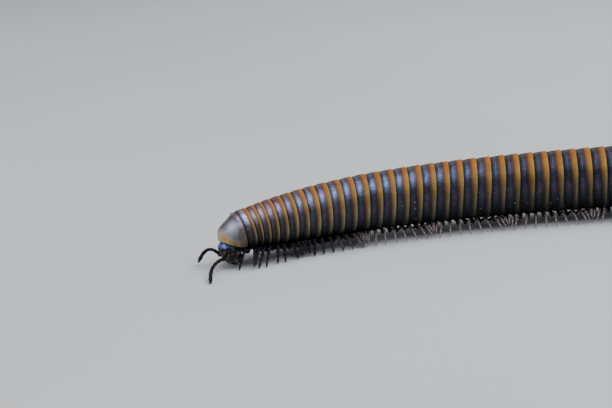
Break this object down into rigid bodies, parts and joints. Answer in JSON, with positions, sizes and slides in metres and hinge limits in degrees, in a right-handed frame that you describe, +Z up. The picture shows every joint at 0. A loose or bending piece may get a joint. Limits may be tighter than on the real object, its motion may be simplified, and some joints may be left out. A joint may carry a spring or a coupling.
{
  "type": "large round-backed millipede",
  "caption": "Life-size millipede walking with its long, ringed, round-backed body in a shallow curve, legs in waves and feelers lowered to the ground.",
  "frame": {"origin": "on the floor, under the middle of the whole animal's bounding box", "axes": "+X along the body towards the tail, with the head at -X; -Y to the animal's left side; +Z up"},
  "size_m": [0.096, 0.0196, 0.0096],
  "materials": {
    "shell": "satin chitin, blue-black with an ochre band along each ring's rear edge",
    "head_chitin": "satin chitin, near black, rougher on the lower face",
    "feeler_chitin": "dull dark purple-brown chitin",
    "eye_gloss": "glossy black"
  },
  "bodies": {
    "root": {"head": "head_chitin", "antenna_left": "feeler_chitin", "antenna_right": "feeler_chitin", "eye_left": "eye_gloss", "eye_right": "eye_gloss", "collum": "shell", "ring_02": "shell", "ring_03": "shell", "ring_04": "shell", "ring_05": "shell", "ring_06": "shell", "ring_07": "shell", "ring_08": "shell", "ring_09": "shell", "ring_10": "shell", "ring_11": "shell", "ring_12": "shell", "ring_13": "shell", "ring_14": "shell", "ring_15": "shell", "ring_16": "shell", "ring_17": "shell", "ring_18": "shell", "ring_19": "shell", "ring_20": "shell", "ring_21": "shell", "ring_22": "shell", "ring_23": "shell", "ring_24": "shell", "ring_25": "shell", "ring_26": "shell", "ring_27": "shell", "ring_28": "shell", "ring_29": "shell", "ring_30": "shell", "ring_31": "shell", "ring_32": "shell", "ring_33": "shell", "ring_34": "shell", "ring_35": "shell", "ring_36": "shell", "ring_37": "shell", "ring_38": "shell", "ring_39": "shell", "ring_40": "shell", "ring_41": "shell", "ring_42": "shell", "ring_43": "shell", "ring_44": "shell", "ring_45": "shell", "ring_46": "shell", "ring_47": "shell", "ring_48": "shell", "ring_49": "shell", "telson": "shell", "anal_valve_left": "shell", "anal_valve_right": "shell"}
  },
  "joints": []
}
